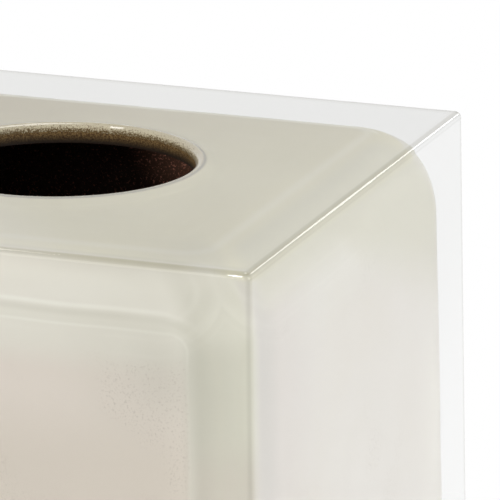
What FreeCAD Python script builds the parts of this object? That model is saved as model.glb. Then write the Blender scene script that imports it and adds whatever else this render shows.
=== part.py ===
import FreeCAD, Part
import math
import os

# Square tissue box cover, open below, with one round hole in the middle of its top.
# Millimetres, +Z up. The origin is the middle of the footprint, on the plane that the foot pads stand on.
# Three layers make each wall: a clear casting outside, a cream shell inside it, and a thin brown lining.

V = FreeCAD.Vector

# Whole cover
top_width = 135.0
cover_height = 146.0
side_lean_deg = 1.02

# Clear casting: how deep it covers the cream at the top, and how its own edges are eased
side_cover = 1.5
roof_cover = 2.2
casting_edge_radius = 1.5
casting_top_bevel = 0.9
casting_foot_bevel = 0.4

# Cream shell, which leans a little more than the casting, so that the clear layer thins towards the rim
core_lean_deg = 1.32
cream_wall = 2.2
cream_roof = 1.5
cream_radius = 19.0
cream_foot_bevel = 0.6

# Hole: the cream flares up through the clear casting and ends in a round lip, drawn in narrow flats
hole_radius = 28.9
lip_radius = 1.6
lip_flats = 5
lip_land = 0.3
flare_width = 3.6

# Brown lining
lining_thickness = 0.6
lining_setback = 1.5

# Foot pads
pad_radius = 3.5
pad_height = 1.6
pad_margin = 0.4

# How far a cutting shape runs past what it cuts, and how near counts as the same height
overrun = 5.0
closeness = 0.001

# Levels and radii that follow from the sizes above
quarter_turn_deg = 90.0
rim_z = pad_height
cream_top_z = cover_height - roof_cover
cream_ceiling_z = cream_top_z - cream_roof
lining_ceiling_z = cream_ceiling_z - lining_thickness
lining_foot_z = rim_z + lining_setback
collar_top_z = cover_height - lip_radius - lip_land
lip_outer_radius = hole_radius + lip_radius
flare_foot_radius = lip_outer_radius + flare_width
cream_inset = side_cover
cavity_inset = cream_inset + cream_wall
room_inset = cavity_inset + lining_thickness


def half_width(inset, z, lean_deg):
    """Half the width, at height z, of a leaning square that lies inset inside the cover's top edge."""
    lean = math.tan(math.radians(lean_deg))
    return top_width / 2 - inset + lean * (cover_height - z)


def leaning_block(inset, z_low, z_high, lean_deg):
    """Solid block of flat faces with a square section that narrows upwards."""
    low = half_width(inset, z_low, lean_deg)
    high = half_width(inset, z_high, lean_deg)
    wedge = Part.makeWedge(-low, z_low, -low, -high, -high, low, z_high, low, high, high)
    wedge.rotate(V(0, 0, 0), V(1, 0, 0), quarter_turn_deg)
    return wedge


def upright_edges(block, z_low, z_high):
    return [e for e in block.Edges if e.BoundBox.ZMax - e.BoundBox.ZMin > (z_high - z_low) / 2]


def level_edges(shape, z, reach=math.inf):
    """Edges that lie wholly at height z and no farther out than reach from the middle planes."""
    found = []
    for edge in shape.Edges:
        box = edge.BoundBox
        level = box.ZMax - box.ZMin < closeness and abs(box.ZMin - z) < closeness
        if level and max(-box.XMin, box.XMax, -box.YMin, box.YMax) < reach:
            found.append(edge)
    return found


def soft_block(inset, z_low, z_high, radius):
    """Leaning block whose upright edges and top edges are rounded alike, with a ball at each top corner."""
    block = leaning_block(inset, z_low, z_high, core_lean_deg)
    return block.makeFillet(radius, upright_edges(block, z_low, z_high) + level_edges(block, z_high))


def rod(radius, z_low, z_high):
    return Part.makeCylinder(radius, z_high - z_low, V(0, 0, z_low))


def cream_outside(z_low):
    """Everything that the clear casting encloses: the soft cream block and the flare round the hole."""
    block = soft_block(cream_inset, z_low, cream_top_z, cream_radius)
    return block.fuse(flare()).removeSplitter()


def flare():
    """The rise from the top of the cream, through the clear casting, to the outer edge of the lip."""
    return Part.makeCone(flare_foot_radius, lip_outer_radius, roof_cover, V(0, 0, cream_top_z))


def throat(z_low):
    """The hole through the cream: a straight bore that opens in a quarter round at the lip."""
    outline = [V(0, 0, z_low), V(hole_radius, 0, z_low)]
    for flat in range(lip_flats + 1):
        bend = math.radians(quarter_turn_deg) * flat / lip_flats
        radius = lip_outer_radius - lip_radius * math.cos(bend)
        outline.append(V(radius, 0, cover_height - lip_radius * (1 - math.sin(bend))))
    high_z = cover_height + overrun
    outline += [V(lip_outer_radius, 0, high_z), V(0, 0, high_z), V(0, 0, z_low)]
    return Part.Face(Part.makePolygon(outline)).revolve(V(0, 0, 0), V(0, 0, 1), 4 * quarter_turn_deg)


def cream_cavity(z_low):
    return soft_block(cavity_inset, z_low, cream_ceiling_z, cream_radius - cream_wall)


def room(z_low):
    """The free space inside the lining, where the box of tissues stands."""
    radius = cream_radius - cream_wall - lining_thickness
    return soft_block(room_inset, z_low, lining_ceiling_z, radius)


def clear_casting():
    """The outer block, its upright edges rounded and its top and foot edges bevelled, less the core."""
    block = leaning_block(0, rim_z, cover_height, side_lean_deg)
    block = block.makeFillet(casting_edge_radius, upright_edges(block, rim_z, cover_height))
    block = block.makeChamfer(casting_top_bevel, level_edges(block, cover_height))
    block = block.makeChamfer(casting_foot_bevel, level_edges(block, rim_z))
    return block.cut(cream_outside(rim_z - overrun))


def cream_shell():
    shell = cream_outside(rim_z).cut(cream_cavity(rim_z - overrun))
    shell = shell.cut(throat(cream_ceiling_z - overrun))
    shell = shell.cut(rod(hole_radius + lining_thickness, cream_ceiling_z - overrun, collar_top_z))
    inner_reach = half_width(cream_inset, rim_z, core_lean_deg) - cream_wall / 2
    return shell.makeChamfer(cream_foot_bevel, level_edges(shell, rim_z, inner_reach))


def brown_lining():
    skin = cream_cavity(lining_foot_z).fuse(rod(hole_radius + lining_thickness, lining_ceiling_z, collar_top_z))
    skin = skin.cut(room(lining_foot_z - overrun))
    return skin.cut(rod(hole_radius, lining_ceiling_z - overrun, cover_height + overrun)).removeSplitter()


def foot_pad(x_side, y_side):
    place = half_width(0, rim_z, side_lean_deg) - casting_foot_bevel - pad_margin - pad_radius
    return Part.makeCylinder(pad_radius, pad_height, V(x_side * place, y_side * place, 0))


def all_pieces():
    pieces = {
        "clear_casting": clear_casting(),
        "cream_shell": cream_shell(),
        "brown_lining": brown_lining(),
    }
    corners = [(-1, -1), (1, -1), (1, 1), (-1, 1)]
    for number, (x_side, y_side) in enumerate(corners, start=1):
        pieces["foot_pad_%d" % number] = foot_pad(x_side, y_side)
    return pieces


os.makedirs("parts", exist_ok=True)
for name, piece in all_pieces().items():
    piece.Solids[0].exportStep("parts/%s.step" % name)
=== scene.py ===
import math

import bmesh
import bpy
from mathutils import Matrix, Vector, noise


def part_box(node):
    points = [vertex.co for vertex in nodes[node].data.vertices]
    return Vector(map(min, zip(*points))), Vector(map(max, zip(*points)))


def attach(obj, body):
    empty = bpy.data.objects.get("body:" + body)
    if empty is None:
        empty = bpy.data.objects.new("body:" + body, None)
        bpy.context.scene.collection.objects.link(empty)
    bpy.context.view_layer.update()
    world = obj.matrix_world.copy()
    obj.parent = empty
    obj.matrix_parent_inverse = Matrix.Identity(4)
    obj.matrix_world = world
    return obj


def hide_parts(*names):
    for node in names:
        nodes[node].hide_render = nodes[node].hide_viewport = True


# Looks for a square tissue box cover: a soft-edged cream shell inside a crisp clear casting.
# Metres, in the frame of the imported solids: +Z up, the origin under the middle, the front facing -Y.

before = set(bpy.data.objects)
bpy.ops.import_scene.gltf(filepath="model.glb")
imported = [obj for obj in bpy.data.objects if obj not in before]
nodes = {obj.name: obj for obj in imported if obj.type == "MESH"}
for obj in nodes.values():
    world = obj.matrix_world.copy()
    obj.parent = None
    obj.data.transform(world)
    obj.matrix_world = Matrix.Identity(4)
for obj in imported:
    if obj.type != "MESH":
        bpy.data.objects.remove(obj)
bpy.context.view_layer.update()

MM = 0.001
QUARTER = math.pi / 2

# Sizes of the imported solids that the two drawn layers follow
rim_corner, top_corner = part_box("clear_casting")
COLLAR_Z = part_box("brown_lining")[1].z
SIDE_LEAN = math.radians(1.02)
CORE_LEAN = math.radians(1.32)
TOP_Z = top_corner.z
RIM_Z = rim_corner.z
EDGE_RADIUS = 1.5 * MM
CASTING_FOOT_BEVEL = 0.4 * MM
CREAM_FOOT_BEVEL = 0.6 * MM
SIDE_COVER = 1.5 * MM
ROOF_COVER = 2.2 * MM
CREAM_WALL = 2.2 * MM
CREAM_ROOF = 1.5 * MM
CREAM_RADIUS = 19.0 * MM
LINING_THICKNESS = 0.6 * MM
HOLE_RADIUS = 28.9 * MM
LIP_RADIUS = 1.6 * MM
FLARE_WIDTH = 3.6 * MM
COLLAR_SEAT = HOLE_RADIUS + LINING_THICKNESS
CREAM_TOP_Z = TOP_Z - ROOF_COVER
CEILING_Z = CREAM_TOP_Z - CREAM_ROOF
LIP_OUTER = HOLE_RADIUS + LIP_RADIUS
FLARE_FOOT = LIP_OUTER + FLARE_WIDTH
HALF_TOP = top_corner.x - math.tan(SIDE_LEAN) * (TOP_Z - RIM_Z - CASTING_FOOT_BEVEL)
TOP_WIDTH = 2 * HALF_TOP


# Camera: solved from the photograph's edges and the hole, in widths of the top
CAMERA_IN_WIDTHS = Vector((2.954, -7.202, 2.095))
CAMERA_YAW = math.radians(-20.108)
CAMERA_PITCH = math.radians(16.092)
PHOTO_WIDTH_PX = 500
FOCAL_PX = 5168
SENSOR_MM = 36
FAR_CLIP = 20


def make_camera():
    data = bpy.data.cameras.new("camera")
    data.sensor_width = SENSOR_MM
    data.lens = SENSOR_MM * FOCAL_PX / PHOTO_WIDTH_PX
    data.clip_end = FAR_CLIP
    camera = bpy.data.objects.new("camera", data)
    flat = math.cos(CAMERA_PITCH)
    ahead = Vector((math.sin(CAMERA_YAW) * flat, math.cos(CAMERA_YAW) * flat, -math.sin(CAMERA_PITCH)))
    right = Vector((math.cos(CAMERA_YAW), -math.sin(CAMERA_YAW), 0))
    turn = Matrix((right, right.cross(ahead), -ahead)).transposed().to_4x4()
    place = CAMERA_IN_WIDTHS * TOP_WIDTH + Vector((0, 0, TOP_Z))
    camera.matrix_world = Matrix.Translation(place) @ turn
    bpy.context.scene.collection.objects.link(camera)
    bpy.context.scene.camera = camera


# Tones: red, green and blue in sRGB steps of 255, and how much each covers of what it is painted over
TONES = {
    # Cream, the face in front: its border by the top, and the panel inside the border. The border's two
    # higher tones are painted light near the top, and the last two tones painted shade towards the corner
    "border": (219, 216, 203, 1.0),
    "border_high": (225, 221, 210, 1.0),
    "border_highest": (237, 233, 221, 1.0),
    "panel_top": (222, 218, 206, 1.0),
    "rosy_high": (219, 209, 198, 1.0),
    "rosy_low": (209, 199, 186, 1.0),
    "front_corner_shade": (190, 186, 171, 0.42),
    "panel_corner_shade": (186, 184, 171, 0.18),
    # Cream, the faces left and right: their own tone and paler far end are painted light, and their darker
    # strip by the near corner painted shade
    "flank_high": (213, 209, 200, 1.0),
    "flank_low": (215, 210, 203, 1.0),
    "far_flank_light": (224, 220, 212, 1.0),
    "near_flank_shade": (205, 197, 190, 0.85),
    "flank_strip_shade": (184, 180, 173, 0.62),
    # Cream, painted shade in the strip in front of its upright corners
    "corner_shade_front": (181, 178, 163, 1.0),
    "corner_shade_side": (193, 190, 174, 1.0),
    "corner_shade_low": (179, 172, 159, 0.85),
    # Cream, what runs over its walls: clouds, grain, painted shade under a line, pale lines that are painted
    # highlights, and pale streaks
    "cloud": (207, 199, 184, 0.3),
    "grain": (172, 161, 148, 0.6),
    "line_shade": (188, 184, 168, 1.0),
    "pale_line": (232, 230, 219, 1.0),
    "pale_streak": (232, 230, 219, 0.25),
    # Cream, along the edges of its top and on the top. The slope tone and the one by the near corner are
    # painted shade, and the pale top line and the far rim's tone painted highlights
    "warm_strip": (216, 209, 173, 1.0),
    "warm_far": (176, 160, 128, 0.66),
    "slope": (199, 195, 176, 0.8),
    "pale_top_line": (232, 230, 219, 0.28),
    "far_rim_highlight": (233, 229, 210, 0.7),
    "near_corner_shade": (186, 182, 168, 0.5),
    # Cream, the lip, with a ring of painted shade where it leaves the clear layer
    "lip": (178, 167, 140, 0.9),
    "lip_shade_ring": (120, 114, 98, 0.6),
    "lip_spray": (88, 70, 43, 1.0),
    # Lining and pads. The bore tone is painted shade, near black down the hole below the tan
    "lacquer_dark": (36, 24, 17, 1.0),
    "lacquer_light": (62, 42, 32, 1.0),
    "fleck": (146, 98, 84, 0.85),
    "bore": (22, 14, 8, 1.0),
    "tan_dark": (68, 48, 24, 1.0),
    "tan_light": (124, 100, 64, 1.0),
    "rubber_dark": (205, 205, 200, 1.0),
    "rubber_light": (222, 222, 217, 1.0),
}
FLANK_COVER = 0.9
CORNER_SHADE_COVER = 0.95
SHADE_COVER = 0.3
LINES_ON_FLANK = 0.2

# Bands: the measure that each follows, and where in mm it starts and ends, going smoothly from 0 to 1,
# or between the two values given after that
BANDS = {
    # Clear casting
    "top_face": ("from_top", 1.2, 0.3),
    "side_top": ("from_top", 0.8, 0.4),
    "front_top": ("from_top", 0.6, 0.2),
    "under_top": ("off_under_line", 0.5, 0),
    "upright_x": ("from_x", 1.3, 0.5),
    "upright_y": ("from_y", 0.9, 0.5),
    "side_rim": ("from_x", 2.0, 1.2),
    "side_skin": ("from_x", 0.6, 0.3),
    "front_rim": ("from_y", 4.5, 2.6),
    "outer_rim": ("from_edge", 3.5, 1.2),
    "top_corner": ("from_x_and_y", 9, 4),
    "clear_lip": ("from_lip", 1.4, 0.5),
    "far_half": ("y", 0, 12),
    "veil_fall": ("from_top", 15, 75),
    # Cream, the face in front
    "border_high": ("from_top", 15, 10),
    "border_highest": ("from_top", 9, 5),
    "on_wall": ("from_top", 7.5, 9.5),
    "in_panel": ("panel", 0.8, -0.8),
    "panel_hue": ("from_top", 17.5, 25),
    "panel_fall": ("from_top", 26, 44),
    "front_end": ("from_corner", 50, 15),
    "upper_part": ("from_top", 45, 20),
    "panel_end": ("from_corner", 27, 18),
    "below_lines": ("from_top", 14, 20),
    "above_middle": ("from_top", 34, 26),
    # Cream, the faces left and right
    "flank": ("toward_flank", 5, 9.5),
    "below_round": ("from_top", 3, 10),
    "flank_fall": ("from_top", 12, 32),
    "far_end": ("y", 34, 54),
    "far_fall": ("from_top", 28, 60),
    "near_half": ("y", 15, -15),
    "near_flank_shade": ("toward_flank", 50, 12),
    "flank_strip_shade": ("toward_flank", 20, 10),
    # Cream, painted shade in the strip in front of its upright corners
    "corner": ("from_corner", 14.5, 8),
    "corner_high": ("from_top", 1, 10, 0.0, 0.7),
    "corner_deep": ("from_top", 14, 20, 0.0, 0.3),
    "corner_ahead": ("toward_flank", 9.5, 5),
    "corner_turn": ("toward_flank", -4, 8),
    "corner_shade_low": ("from_top", 34, 46),
    # Cream, the pale lines painted as highlights, the painted shade under one, and the streaks on its walls
    "line_shade": ("off_shade", 1.1, 0),
    "outer_line": ("off_outer_line", 0.7, 0),
    "outer_height": ("from_top", 24, 13, 0.0, 0.8),
    "outer_end": ("from_corner", 6, 20),
    "panel_line": ("off_panel_line", 0.5, 0),
    "panel_height": ("from_top", 24, 16, 0.2, 0.48),
    "line_fade": ("from_corner", 10, 55, 0.35, 1.0),
    "off_corner": ("from_corner", 0.5, 2.5),
    "streaks_high": ("from_top", 26, 10),
    # Cream, along the edges of its top and on the top
    "edge_drop": ("toward_flank", -4, 14, 0.0, 3 * MM),
    "warm_strip": ("below_edge", 4.6, 3.6),
    "near_left": ("x_plus_y", -20, -45, 0.7, 0.45),
    "far_left": ("y_minus_x", -30, 110),
    "slope_flank": ("toward_flank", 4, 17),
    "slope_high": ("down_slope", 15.5, 7),
    "slope_start": ("from_top", 2.4, 4.5),
    "top_line": ("off_top_line", 2.0, 0),
    "cream_top": ("from_top", 3.7, 2.7),
    "far_edge": ("y", 49, 51),
    "by_rim": ("from_top", 3.6, 3.2),
    "near_right": ("x_minus_y", 80, 115),
    "front_share": ("toward_flank", 10, 3, 0.2, 1.0),
    # Cream, the lip
    "lip": ("from_lip", 1, 0),
    "lip_shade_ring": ("off_lip_ring", 0.35, 0),
    "sprayed": ("from_top", -0.2, 2.0),
    # Lining and floor
    "room_walls": ("below_ceiling", 1, 3),
    "in_hole": ("below_ceiling", 1.5, 0.2),
    "collar_rise": ("below_collar", 2.4, -0.4),
    "open_floor": ("from_axis", 110, 220),
}

# Patterns of noise: the size of a lump in mm, the detail, the roughness, and for a smooth step the two
# levels of the noise between which it goes from 0 to 1, or between the two values given after them
PATTERNS = {
    "swirl": (25, 3.0, 0.5),
    "casting_waves": (60, 1.0, 0.5),
    "casting_gloss": (8, 2.0, 0.5, 0.3, 0.7, 0.0, 0.015),
    "wander": (30, 2.0, 0.5),
    "clouds": (45, 3.0, 0.5, 0.35, 0.7),
    "grain": (0.45, 3.0, 0.7, 0.52, 0.72),
    "grain_patches": (24, 2.0, 0.5, 0.5, 0.62),
    "streaks": (2.5, 2.0, 0.5, 0.48, 0.7),
    "lip_spray": (0.35, 3.0, 0.8, 0.43, 0.62),
    "cream_gloss": (5, 2.0, 0.5, 0.2, 0.8, 0.4, 0.55),
    "cream_waves": (1.2, 2.0, 0.5),
    "lacquer": (0.4, 4.0, 0.75, 0.3, 0.7, 0.55, 0.75),
    "flecks": (0.6, 3.0, 0.75, 0.56, 0.66),
    "tan_spray": (0.35, 3.0, 0.8, 0.42, 0.6),
    "rubber": (0.8, 3.0, 0.5, 0.3, 0.7, 0.4, 0.55),
    "floor": (200, 2.0, 0.5),
}


def srgb(red, green, blue):
    """Linear colour of an sRGB one in steps of 255."""
    def linear(step):
        share = step / 255
        return share / 12.92 if share <= 0.04045 else ((share + 0.055) / 1.055) ** 2.4
    return (linear(red), linear(green), linear(blue), 1.0)


def tone(name):
    return srgb(*TONES[name][:3])


class Nodes:
    """A node tree, with one short call for each kind of node that the materials and the world use."""

    def __init__(self, tree):
        self.tree = tree

    def node(self, kind, **settings):
        made = self.tree.nodes.new(kind)
        for key, value in settings.items():
            setattr(made, key, value)
        return made

    def feed(self, socket, value):
        """Links value to socket if it is a socket, and otherwise sets it there."""
        if isinstance(value, bpy.types.NodeSocket):
            self.tree.links.new(value, socket)
        else:
            socket.default_value = value

    def fed(self, kind, values, **settings):
        """A node whose first inputs hold values, and of which the first output counts."""
        made = self.node(kind, **settings)
        for socket, value in zip(made.inputs, values):
            self.feed(socket, value)
        return made.outputs[0]

    def math(self, operation, a, b=0.0):
        return self.fed("ShaderNodeMath", (a, b), operation=operation)

    def plus(self, a, b):
        return self.math("ADD", a, b)

    def minus(self, a, b):
        return self.math("SUBTRACT", a, b)

    def larger(self, a, b):
        return self.math("MAXIMUM", a, b)

    def smaller(self, a, b):
        return self.math("MINIMUM", a, b)

    def absolute(self, a):
        return self.math("ABSOLUTE", a)

    def length(self, a, b):
        """Length of the vector that has these two parts."""
        return self.math("SQRT", self.plus(self.math("MULTIPLY", a, a), self.math("MULTIPLY", b, b)))

    def ramp(self, value, low, high, to_low=0.0, to_high=1.0):
        """Smooth step of value from low to high."""
        values = (value, low, high, to_low, to_high)
        return self.fed("ShaderNodeMapRange", values, interpolation_type="SMOOTHSTEP")

    def seen(self):
        """1 for rays from the camera, off glossy surfaces and through clear ones, else 0."""
        rays = self.node("ShaderNodeLightPath").outputs
        seen = self.larger(rays["Is Camera Ray"], rays["Is Glossy Ray"])
        return self.larger(seen, rays["Is Transmission Ray"])


class Material(Nodes):
    """A material painted tone by tone.

    x, y and z are the object's coordinates in metres, which here are those of the whole part. Measures are
    sockets worked out from them, and each band is a mask that follows a measure.
    """

    def __init__(self, name):
        self.material = bpy.data.materials.new(name)
        self.material.use_nodes = True
        super().__init__(self.material.node_tree)
        self.shader = self.tree.nodes["Principled BSDF"]
        self.place = self.node("ShaderNodeTexCoord").outputs["Object"]
        split = self.node("ShaderNodeSeparateXYZ")
        self.feed(split.inputs[0], self.place)
        self.x, self.y, self.z = split.outputs
        self.measures = {"y": self.y}
        self.bands = {}
        self.colour = None

    def band(self, name):
        """The mask that a row of BANDS describes."""
        if name not in self.bands:
            measure, start, end, *values = BANDS[name]
            self.bands[name] = self.ramp(self.measures[measure], start * MM, end * MM, *values)
        return self.bands[name]

    def times(self, *masks):
        """Product of masks, each the name of a band, a socket or a number."""
        product = None
        for mask in masks:
            value = self.band(mask) if isinstance(mask, str) else mask
            product = value if product is None else self.math("MULTIPLY", product, value)
        return product

    def noise(self, name, place=None):
        """Noise from 0 to 1 with the lumps that a row of PATTERNS describes."""
        size, detail, roughness = PATTERNS[name][:3]
        made = self.node("ShaderNodeTexNoise")
        self.feed(made.inputs["Vector"], place or self.place)
        self.feed(made.inputs["Scale"], 1 / (size * MM))
        self.feed(made.inputs["Detail"], detail)
        self.feed(made.inputs["Roughness"], roughness)
        return made.outputs["Fac"]

    def pattern(self, name, value=None):
        """Smooth step, between the levels of a row of PATTERNS, of its noise or of a value given."""
        return self.ramp(value or self.noise(name), *PATTERNS[name][3:])

    def blend(self, share, a, b):
        made = self.node("ShaderNodeMix", data_type="RGBA")
        self.feed(made.inputs["Factor"], share)
        self.feed(made.inputs["A"], a)
        self.feed(made.inputs["B"], b)
        return made.outputs["Result"]

    def coated(self, colour, *coats):
        """A colour under coats. Each coat names its tone, followed by the masks that bound it."""
        for name, *masks in coats:
            colour = self.blend(self.times(*masks, TONES[name][3]), colour, tone(name))
        return colour

    def paint(self, *coats):
        self.colour = self.coated(self.colour, *coats)

    def bump(self, height, distance, strength=1.0):
        made = self.node("ShaderNodeBump")
        self.feed(made.inputs["Height"], height)
        self.feed(made.inputs["Distance"], distance)
        self.feed(made.inputs["Strength"], strength)
        return made.outputs["Normal"]

    def set(self, **sockets):
        """Sets or links the shader's sockets, whose names are written with underscores for spaces."""
        for name, value in sockets.items():
            self.feed(self.shader.inputs[name.replace("_", " ")], value)

    def panel_distance(self, across, up, top, outline):
        """Distance of a point from the panel that an outline describes, negative inside it."""
        inset, depth, radius = (length * MM for length in outline)
        side = self.plus(across, radius + inset - HALF_TOP)
        height = self.plus(up, radius + depth - top)
        outside = self.length(self.larger(side, 0.0), self.larger(height, 0.0))
        inside = self.smaller(self.larger(side, height), 0.0)
        return self.minus(self.plus(outside, inside), radius)


# Clear casting: its veil, whose deeper tone on the top face is painted shade, and how dark the
# painted shade along each polished edge is where all of its bands hold
SHADED_VEIL_TOP = (0.62, 0.62, 0.605, 1)
VEIL_SIDE = (0.90, 0.905, 0.90, 1)
VEIL_LOW = (0.96, 0.965, 0.96, 1)
VEIL_SWIRL = (0.80, 0.80, 0.79, 1)
SWIRL_COVER = 0.25
UNDER_LINE = 1.4 * MM
EDGE_SHADE_COLOUR = (0.45, 0.44, 0.40, 1)
EDGE_SHADES = {
    "upright": (0.45, "upright_x", "upright_y"),
    "rim": (0.25, "outer_rim", "top_face"),
    "side": (0.95, "side_rim", "side_top"),
    "front": (0.45, "front_rim", "front_top"),
    "under": (0.3, "under_top", "side_skin"),
    "lip": (0.5, "clear_lip", "top_face", "far_half"),
    "corner": (0.5, "top_corner", "top_face"),
}


def clear_material():
    """Clear resin with a faint grey veil, a little deeper on the top face as painted shade, and painted
    shade along its polished edges.
    """
    t = Material("clear_resin")
    from_top = t.minus(TOP_Z, t.z)
    half = t.plus(t.times(from_top, math.tan(SIDE_LEAN)), HALF_TOP)
    from_x = t.minus(half, t.absolute(t.x))
    from_y = t.minus(half, t.absolute(t.y))
    t.measures.update(
        from_top=from_top,
        from_x=from_x,
        from_y=from_y,
        from_edge=t.smaller(from_x, from_y),
        from_x_and_y=t.plus(from_x, from_y),
        from_lip=t.minus(t.length(t.x, t.y), LIP_OUTER),
        off_under_line=t.absolute(t.minus(from_top, UNDER_LINE)),
    )
    # Painted shade: dark lines along the edges, under the top edge, by the lip's far half and at the top's
    # corners
    edge = 0.0
    for darkness, *bands in EDGE_SHADES.values():
        edge = t.larger(edge, t.times(*bands, darkness))
    veil = t.blend(t.band("veil_fall"), VEIL_SIDE, VEIL_LOW)
    # The deeper veil on the top face is painted shade
    veil = t.blend(t.band("top_face"), veil, SHADED_VEIL_TOP)
    veil = t.blend(t.times(t.noise("swirl"), SWIRL_COVER), veil, VEIL_SWIRL)
    t.set(
        Base_Color=t.blend(edge, veil, EDGE_SHADE_COLOUR),
        Roughness=t.pattern("casting_gloss"),
        Transmission_Weight=1.0,
        IOR=1.04,
        Coat_Weight=1.0,
        Coat_IOR=1.5,
        Coat_Roughness=0.02,
        Coat_Normal=t.bump(t.noise("casting_waves"), 0.4 * MM, 0.5),
    )
    return t.material


# Rounded outlines along which the cream has pale lines painted as highlights, in mm: the inset from the
# sides, the depth below the top edge or the inset from it, and the corner radius
PANEL = (14.0, 14.6, 4)
OUTER_LINE = (7.2, 11.1, 13)
TOP_PANEL = (15.1, 15.1, 6)
SHADE_OFFSET = 1.3 * MM
WANDER = 1 * MM
STREAK_SHAPE = 0.05
LIP_RING = 0.3 * MM
SPRAY_DRIFT = 0.26
GLOSS_UNDER_SPRAY = (0.6, 0.3)

# The slope below the top edge of the faces left and right, where shade is painted, grows deeper from here
# to the far end
SLOPE_Y = -5 * MM
SLOPE_GROWTH = 28 * MM


def measure_cream(t):
    """Where a point of the cream lies: from the top, along the walls, and off the lines.

    toward_flank is 0 in the upright planes through the corners, negative on the faces in front and behind
    and positive on those left and right. from_corner is the same without the sign.
    """
    across_x = t.absolute(t.x)
    across_y = t.absolute(t.y)
    along = t.smaller(across_x, across_y)
    reach = t.larger(across_x, across_y)
    from_top = t.minus(TOP_Z, t.z)
    wander = t.times(t.minus(t.noise("wander"), 0.5), WANDER)
    across = t.plus(t.minus(along, t.times(from_top, math.tan(SIDE_LEAN))), wander)
    up = t.plus(t.z, wander)
    panel = t.panel_distance(across, up, TOP_Z, PANEL)
    outer_line = t.panel_distance(across, up, TOP_Z, OUTER_LINE)
    from_lip = t.minus(t.length(t.x, t.y), LIP_OUTER)
    growth = t.math("DIVIDE", t.larger(t.minus(t.y, SLOPE_Y), 0.0), SLOPE_GROWTH)
    t.measures.update(
        along=along,
        girth=t.plus(reach, t.z),
        from_top=from_top,
        from_corner=t.minus(reach, along),
        toward_flank=t.minus(across_x, across_y),
        x_plus_y=t.plus(t.x, t.y),
        x_minus_y=t.minus(t.x, t.y),
        y_minus_x=t.minus(t.y, t.x),
        down_slope=t.math("DIVIDE", from_top, t.plus(growth, 1.0)),
        panel=panel,
        off_panel_line=t.absolute(panel),
        off_outer_line=t.absolute(outer_line),
        off_shade=t.absolute(t.plus(outer_line, SHADE_OFFSET)),
        off_top_line=t.absolute(t.panel_distance(along, reach, HALF_TOP, TOP_PANEL)),
        from_lip=from_lip,
        off_lip_ring=t.absolute(t.minus(from_lip, LIP_RING)),
    )
    t.measures["below_edge"] = t.minus(from_top, t.band("edge_drop"))


def paint_front(t):
    """A pale border, lighter near the top as painted light, and a rosier panel inside it, both with painted
    shade towards the corner.
    """
    # Painted light: the border grows lighter near the top
    border = t.coated(tone("border"), ("border_high", "border_high"), ("border_highest", "border_highest"))
    rosy = t.coated(tone("rosy_high"), ("rosy_low", "panel_fall"))
    middle = t.blend(t.band("panel_hue"), tone("panel_top"), rosy)
    t.colour = t.blend(t.times("in_panel", "on_wall"), border, middle)
    # Painted shade towards the upright corner, on the border and at the panel's end
    t.paint(
        ("front_corner_shade", "front_end", "upper_part"),
        ("panel_corner_shade", "panel_end", "below_lines", "above_middle"),
    )


def paint_flanks(t):
    """The faces left and right: their own tone and paler far end are painted light, the strip by the near
    corner painted shade.
    """
    # Painted light: the faces left and right get their own tone, paler at the far end
    flank = t.coated(tone("flank_high"), ("flank_low", "flank_fall"), ("far_flank_light", "far_end", "far_fall"))
    t.colour = t.blend(t.times("flank", "below_round", FLANK_COVER), t.colour, flank)
    # Painted shade in a strip by the near corner
    near_part = t.times("flank", "below_round", "near_half")
    t.paint(("near_flank_shade", "near_flank_shade", near_part), ("flank_strip_shade", "flank_strip_shade", near_part))


def paint_corner_shade(t):
    """Painted shade in a strip in front of an upright corner, which turns rosier further down."""
    corner = t.blend(t.band("corner_turn"), tone("corner_shade_front"), tone("corner_shade_side"))
    corner = t.coated(corner, ("corner_shade_low", "corner_shade_low"))
    depth = t.plus(t.band("corner_high"), t.band("corner_deep"))
    t.colour = t.blend(t.times("corner", depth, "corner_ahead", CORNER_SHADE_COVER), t.colour, corner)


def paint_lines(t):
    """Clouds and grain, two pale lines painted as highlights with painted shade under the outer one, and
    fine streaks.
    """
    on_flank = t.times("flank", "below_round")
    shaded = t.ramp(on_flank, 0.0, 1.0, SHADE_COVER, 0.0)
    shown = t.ramp(on_flank, 0.0, 1.0, 1.0, LINES_ON_FLANK)
    outer_line = t.times("outer_line", "outer_height", "outer_end")
    lines = t.plus(outer_line, t.times("panel_line", "panel_height"))
    shrunk = t.times(t.measures["along"], STREAK_SHAPE)
    stretched = t.fed("ShaderNodeCombineXYZ", (t.measures["girth"], shrunk, 0.0))
    streaks = t.pattern("streaks", t.noise("streaks", stretched))
    t.paint(
        ("cloud", t.pattern("clouds")),
        ("grain", t.pattern("grain"), t.pattern("grain_patches"), "in_panel", "on_wall"),
        ("line_shade", "line_shade", "on_wall", shaded),
        ("pale_line", lines, "on_wall", "line_fade", "off_corner", shown),
        ("pale_streak", streaks, "streaks_high"),
    )


def paint_top(t):
    """The warmer strip along the top's edges, painted shade on the slope below it and by the near corner,
    and painted highlights in a pale line on the top and along its far rim.
    """
    t.paint(
        ("warm_strip", "warm_strip", "near_left"),
        ("warm_far", "far_left", "warm_strip"),
        # Painted shade on the slope below the top edge
        ("slope", "slope_flank", "slope_high", "slope_start"),
        # Painted highlight in a pale line on the top
        ("pale_top_line", "top_line", "cream_top"),
        # Painted highlight along the far rim of the top
        ("far_rim_highlight", "far_edge", "by_rim"),
        # Painted shade by the near corner of the top
        ("near_corner_shade", "near_right", "warm_strip", "front_share"),
    )


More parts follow.
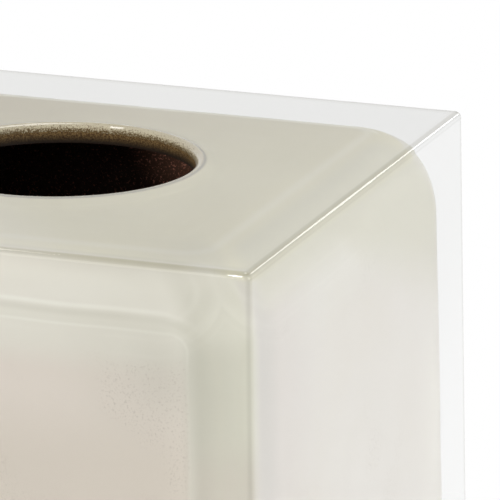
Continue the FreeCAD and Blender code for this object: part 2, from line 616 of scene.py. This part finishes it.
def paint_lip(t):
    """The lip: darker, with a ring of painted shade where it leaves the clear layer, and sprayed brown into
    the hole.
    """
    drift = t.times(t.minus(t.band("sprayed"), 0.5), SPRAY_DRIFT)
    spray = t.pattern("lip_spray", t.plus(t.noise("lip_spray"), drift))
    t.paint(("lip", "lip"), ("lip_shade_ring", "lip_shade_ring"), ("lip_spray", spray, "lip"))


def cream_material():
    """Cream resin, matt under the clear layer and glossy on the lip."""
    t = Material("cream_resin")
    measure_cream(t)
    paint_front(t)
    paint_flanks(t)
    paint_corner_shade(t)
    paint_lines(t)
    paint_top(t)
    paint_lip(t)
    t.set(
        Base_Color=t.colour,
        Roughness=t.pattern("cream_gloss"),
        Specular_IOR_Level=0.15,
        Coat_Weight=t.times("lip", t.ramp(t.band("sprayed"), *GLOSS_UNDER_SPRAY)),
        Coat_Roughness=0.04,
        Sheen_Weight=1.0,
        Sheen_Roughness=0.15,
        Sheen_Tint=(1.0, 0.99, 0.95, 1),
        Normal=t.bump(t.noise("cream_waves"), 0.03 * MM, 0.08),
    )
    return t.material


def lining_material():
    """Dark brown lacquer with rosy flecks on the walls, sprayed tan where it climbs the hole and near black
    below that as painted shade.
    """
    t = Material("brown_lacquer")
    t.measures.update(below_ceiling=t.minus(CEILING_Z, t.z), below_collar=t.minus(COLLAR_Z, t.z))
    grain = t.noise("lacquer")
    t.colour = t.blend(grain, tone("lacquer_dark"), tone("lacquer_light"))
    # Painted shade: the lining turns near black in the hole, below its tan
    t.paint(("fleck", t.pattern("flecks"), "room_walls"), ("bore", "in_hole"))
    tan = t.blend(t.pattern("tan_spray"), tone("tan_dark"), tone("tan_light"))
    t.set(
        Base_Color=t.blend(t.band("collar_rise"), t.colour, tan),
        Roughness=t.pattern("lacquer", grain),
        Specular_IOR_Level=0.2,
        Normal=t.bump(grain, 0.1 * MM, 0.6),
    )
    return t.material


def pad_material():
    """Milky soft rubber."""
    t = Material("pad_rubber")
    grain = t.noise("rubber")
    t.set(
        Base_Color=t.blend(grain, tone("rubber_dark"), tone("rubber_light")),
        Roughness=t.pattern("rubber", grain),
        Transmission_Weight=0.35,
        IOR=1.4,
        Normal=t.bump(grain, 0.05 * MM, 0.5),
    )
    return t.material


# The clear and the cream layer, each drawn as rings from the rim up the outside, to the hole and down the
# inside. The side shares are where along a straight side the points of a ring lie. A ring lies SUPPORT away
# from each round, to keep the shading of the flats flat
SIDE_STEPS = 20
END_SHARE = 0.004
SIDE_SHARES = [0, END_SHARE] + [step / SIDE_STEPS for step in range(1, SIDE_STEPS)] + [1 - END_SHARE]
CORNER_STEPS = 16
BEND_STEPS = 16
CREAM_WALL_STEPS = 20
CREAM_ROOF_STEPS = 8
CASTING_WALL_STEPS = 3
CASTING_ROOF_STEPS = 4
HOLLOW_STEPS = 6
FLARE_STEPS = 5
LIP_STEPS = 10
SUPPORT = 0.25 * MM
LEAST_CORNER = 1.5 * MM
SHARP_CORNER = 0.02 * MM
UNIT_CORNER = 0.25
SHARP_ANGLE = math.radians(50)

# The cream swells from the clear layer's hollow by a thin bond and a slow wave with a finer one on it
BOND = 0.06 * MM
BOND_RISE = 6
WAVE = 0.25 * MM
WAVE_LENGTH = 38 * MM
FINE_WAVE = 0.4
FINE_WAVE_RATE = 2.7
WAVE_LIFT = 0.3
CALM_REACH = 12 * MM


def square_ring(half, radius, z):
    """Points of a square with rounded corners, anticlockwise, as many for every ring."""
    straight = half - radius
    points = []
    for quarter in range(4):
        turn = Matrix.Rotation(quarter * QUARTER, 3, "Z")
        for share in SIDE_SHARES:
            points.append(turn @ Vector((half, straight * (2 * share - 1), z)))
        for step in range(CORNER_STEPS):
            angle = QUARTER * step / CORNER_STEPS
            corner = Vector((straight + radius * math.cos(angle), straight + radius * math.sin(angle), z))
            points.append(turn @ corner)
    return points


def round_ring(radius, z):
    """Points of a circle, in step with those of a rounded square."""
    points = []
    for square_point in square_ring(1.0, UNIT_CORNER, 0.0):
        angle = math.atan2(square_point.y, square_point.x)
        points.append(Vector((radius * math.cos(angle), radius * math.sin(angle), z)))
    return points


def half_at(z, inset, lean):
    """Half the width, at height z, of a wall that lies inset inside the top edge and leans outwards."""
    return HALF_TOP - inset + math.tan(lean) * (TOP_Z - z)


def wall_rings(inset, lean, radius, roof_z, steps, foot_bevel=0.0, least_corner=LEAST_CORNER):
    """Rings of a leaning wall and of the round between it and the roof, from the foot upwards."""
    rings = []
    centre_z = roof_z - radius
    centre_half = half_at(centre_z, inset, lean) - radius / math.cos(lean)
    straight_high = centre_z + radius * math.sin(lean) - SUPPORT
    straight_low = RIM_Z + abs(foot_bevel)
    if foot_bevel:
        rings.append(square_ring(half_at(RIM_Z, inset, lean) - foot_bevel, radius - foot_bevel, RIM_Z))
    for step in range(steps + 1):
        z = straight_low + (straight_high - straight_low) * step / steps
        rings.append(square_ring(half_at(z, inset, lean), radius, z))
    for step in range(BEND_STEPS + 1):
        angle = lean + (QUARTER - lean) * step / BEND_STEPS
        reach = radius * math.cos(angle)
        corner = max(reach, least_corner)
        rings.append(square_ring(centre_half + reach, corner, centre_z + radius * math.sin(angle)))
    return rings


def roof_rings(outer, inner, steps):
    """Rings from the first one, which is left out, across the flat roof to the second."""
    shares = [step / steps for step in range(1, steps + 1)]
    return [[a.lerp(b, share) for a, b in zip(outer, inner)] for share in shares]


def flare_rings():
    """The rise from the flat top up to the lip, the lip's quarter round and the bore below it."""
    rings = []
    for step in range(1, FLARE_STEPS):
        share = step / FLARE_STEPS
        radius = FLARE_FOOT - FLARE_WIDTH * share
        rings.append(round_ring(radius, CREAM_TOP_Z + ROOF_COVER * share + BOND * (1 - share)))
    for step in range(LIP_STEPS + 1):
        angle = QUARTER * step / LIP_STEPS
        z = TOP_Z - LIP_RADIUS * (1 - math.cos(angle))
        rings.append(round_ring(LIP_OUTER - LIP_RADIUS * math.sin(angle), z))
    rings.append(round_ring(HOLE_RADIUS, COLLAR_Z))
    rings.append(round_ring(COLLAR_SEAT, COLLAR_Z))
    rings.append(round_ring(COLLAR_SEAT, CEILING_Z))
    return rings


def swelling(point):
    """How far the cream stands out at this point: a slow wave, none of it at the foot or by the hole."""
    wave = noise.noise(point / WAVE_LENGTH) + FINE_WAVE * noise.noise(point * FINE_WAVE_RATE / WAVE_LENGTH)
    from_hole = (math.hypot(point.x, point.y) - FLARE_FOOT) / CALM_REACH
    from_foot = (point.z - RIM_Z) / CALM_REACH
    calm = max(0.0, min(1.0, from_hole, from_foot))
    return BOND * min(1.0, BOND_RISE * from_foot) + calm * WAVE * max(0.0, wave + WAVE_LIFT)


def outward(point):
    """Direction away from the shell's middle: sideways on the walls, upwards on the roof."""
    centre_half = half_at(point.z, SIDE_COVER + CREAM_RADIUS, CORE_LEAN)
    centre_x = max(-centre_half, min(centre_half, point.x))
    centre_y = max(-centre_half, min(centre_half, point.y))
    away = point - Vector((centre_x, centre_y, min(point.z, CREAM_TOP_Z - CREAM_RADIUS)))
    return away.normalized() if away.length > 0 else Vector((0, 0, 1))


def bridge(bm, lower, upper):
    """Adds the faces between two rings."""
    count = len(lower)
    for i in range(count):
        after = (i + 1) % count
        bm.faces.new((lower[i], lower[after], upper[after], upper[i]))


def make_layer(name, rings, node, material):
    """A closed layer skinned over rings, the last joined to the first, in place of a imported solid."""
    bm = bmesh.new()
    loops = [[bm.verts.new(p) for p in ring] for ring in rings]
    for lower, upper in zip(loops, loops[1:] + loops[:1]):
        bridge(bm, lower, upper)
    bmesh.ops.recalc_face_normals(bm, faces=bm.faces)
    mesh = bpy.data.meshes.new(name)
    bm.to_mesh(mesh)
    bm.free()
    mesh.materials.append(material)
    for polygon in mesh.polygons:
        polygon.use_smooth = True
    layer = bpy.data.objects.new(name, mesh)
    bpy.context.scene.collection.objects.link(layer)
    mesh.set_sharp_from_angle(angle=SHARP_ANGLE)
    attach(layer, "root")
    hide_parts(node)


def make_cream_body():
    """The shell with its flare, lip and hollow, swollen a little where the clear layer covers it."""
    outside = wall_rings(SIDE_COVER, CORE_LEAN, CREAM_RADIUS, CREAM_TOP_Z, CREAM_WALL_STEPS)
    outside += roof_rings(outside[-1], round_ring(FLARE_FOOT, CREAM_TOP_Z), CREAM_ROOF_STEPS)
    outside = [[p + outward(p) * swelling(p) for p in ring] for ring in outside]
    inset = SIDE_COVER + CREAM_WALL
    radius = CREAM_RADIUS - CREAM_WALL
    inside = wall_rings(inset, CORE_LEAN, radius, CEILING_Z, HOLLOW_STEPS, -CREAM_FOOT_BEVEL)
    rings = outside + flare_rings() + list(reversed(inside))
    make_layer("cream_body", rings, "cream_shell", cream_material())


def make_clear_body():
    """The casting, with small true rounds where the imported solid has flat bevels, over a plain hollow."""
    outside = wall_rings(0, SIDE_LEAN, EDGE_RADIUS, TOP_Z, CASTING_WALL_STEPS, CASTING_FOOT_BEVEL,
                         SHARP_CORNER)
    top_half = half_at(TOP_Z - EDGE_RADIUS, 0, SIDE_LEAN) - EDGE_RADIUS / math.cos(SIDE_LEAN)
    top = [square_ring(top_half - SUPPORT, SHARP_CORNER, TOP_Z)]
    top += roof_rings(top[0], round_ring(LIP_OUTER, TOP_Z), CASTING_ROOF_STEPS)
    hollow = wall_rings(SIDE_COVER, CORE_LEAN, CREAM_RADIUS, CREAM_TOP_Z, HOLLOW_STEPS)
    rings = outside + top + [round_ring(FLARE_FOOT, CREAM_TOP_Z)] + list(reversed(hollow))
    make_layer("clear_body", rings, "clear_casting", clear_material())


def dress(node, material):
    """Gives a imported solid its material."""
    mesh = nodes[node].data
    mesh.materials.clear()
    mesh.materials.append(material)


# Floor, world and lamps
FLOOR_SIZE = 12
FLOOR_DARK = (0.84, 0.84, 0.84, 1)
FLOOR_PALE = (0.86, 0.86, 0.86, 1)
WORLD_COLOUR = (1, 1, 1, 1)
WORLD_LIGHT = 0.5
PLAIN = (1, 1, 1)
COOL = (0.93, 0.97, 1.0)
MIDDLE = (0, 0, TOP_Z / 2)
OPEN_BEAM = 180


def floor_material():
    """Pale floor that keeps the shadow near the object and is plain white where it is seen farther off."""
    t = Material("pale_floor")
    t.measures["from_axis"] = t.length(t.x, t.y)
    t.set(Base_Color=t.blend(t.noise("floor"), FLOOR_DARK, FLOOR_PALE), Roughness=0.7)
    glow = t.node("ShaderNodeEmission").outputs[0]
    mixed = t.fed("ShaderNodeMixShader", (t.times(t.seen(), "open_floor"), t.shader.outputs[0], glow))
    t.feed(t.tree.nodes["Material Output"].inputs["Surface"], mixed)
    return t.material


def make_floor():
    bpy.ops.mesh.primitive_plane_add(size=FLOOR_SIZE)
    floor = bpy.context.object
    floor.name = "floor"
    floor.data.materials.append(floor_material())


def make_world():
    """A world that is white to look at and sheds half as much light."""
    world = bpy.data.worlds.new("studio")
    bpy.context.scene.world = world
    world.use_nodes = True
    t = Nodes(world.node_tree)
    background = t.tree.nodes["Background"]
    t.feed(background.inputs["Color"], WORLD_COLOUR)
    t.feed(background.inputs["Strength"], t.ramp(t.seen(), 0.0, 1.0, WORLD_LIGHT, 1.0))


def area_light(name, place, size, power, aim=MIDDLE, beam_deg=OPEN_BEAM, colour=PLAIN,
               through_clear=True, in_gloss=True, on_matt=True):
    """Soft square lamp that faces the point aim. Its switches say which surfaces it reaches."""
    data = bpy.data.lights.new(name, "AREA")
    data.color = colour
    data.shape = "SQUARE"
    data.size = size
    data.spread = math.radians(beam_deg)
    data.energy = power
    lamp = bpy.data.objects.new(name, data)
    ahead = Vector(aim) - Vector(place)
    lamp.visible_camera = False
    lamp.visible_transmission = through_clear
    lamp.visible_glossy = in_gloss
    lamp.visible_diffuse = on_matt
    lamp.matrix_world = Matrix.Translation(place) @ ahead.to_track_quat("-Z", "Y").to_matrix().to_4x4()
    bpy.context.scene.collection.objects.link(lamp)
    return lamp


def card(name, place, away, across, width, length, power, beam_deg=OPEN_BEAM):
    """A slim lamp seen only in reflections. It shines against away, and its width lies along across."""
    lamp = area_light(name, place, width, power, beam_deg=beam_deg, through_clear=False, on_matt=False)
    lamp.data.shape = "RECTANGLE"
    lamp.data.size_y = length
    back = Vector(away).normalized()
    tall = back.cross(Vector(across)).normalized()
    turn = Matrix((tall.cross(back), tall, back)).transposed().to_4x4()
    lamp.matrix_world = Matrix.Translation(place) @ turn


def make_lamps():
    """Two soft lamps on the faces, two into the hole, and small ones for the glints on the edges."""
    area_light("key_right", (1.5, -0.5, 0.5), size=1.0, power=12.7, colour=COOL)
    area_light("fill_front", (-0.4, -1.5, 0.6), size=1.0, power=4.0)
    area_light("into_hole", (-0.66, -1.36, 0.50), size=0.22, power=13.0, through_clear=False, in_gloss=False)
    area_light("edge_glint", (0.412, 1.187, 0.55), size=0.20, power=0.5, through_clear=False, on_matt=False)
    area_light("lip_line", (0.05, 0.30, 1.15), size=0.5, power=4.5, through_clear=False, on_matt=False)
    card("corner_glint", place=(0.0262, -0.1509, 0.2224), away=(-0.338, -0.692, 0.638),
         across=(0.941, -0.249, 0.229), width=0.006, length=0.04, power=0.0007, beam_deg=36)
    card("lip_spot", place=(-0.45, -0.22, 1.10), away=(-0.405, -0.285, 0.869),
         across=(1, 0, 0), width=0.13, length=0.55, power=2.2)
    area_light("in_hollow", (0.024, 0.022, 0.118), size=0.004, power=0.0006,
               aim=(0.008, 0.062, 0.130), beam_deg=32, in_gloss=False)


make_world()
make_floor()
make_camera()
make_lamps()

make_cream_body()
make_clear_body()
dress("brown_lining", lining_material())
pads = pad_material()
for number in range(1, 5):
    dress("foot_pad_%d" % number, pads)

bpy.context.scene.view_settings.view_transform = "Standard"
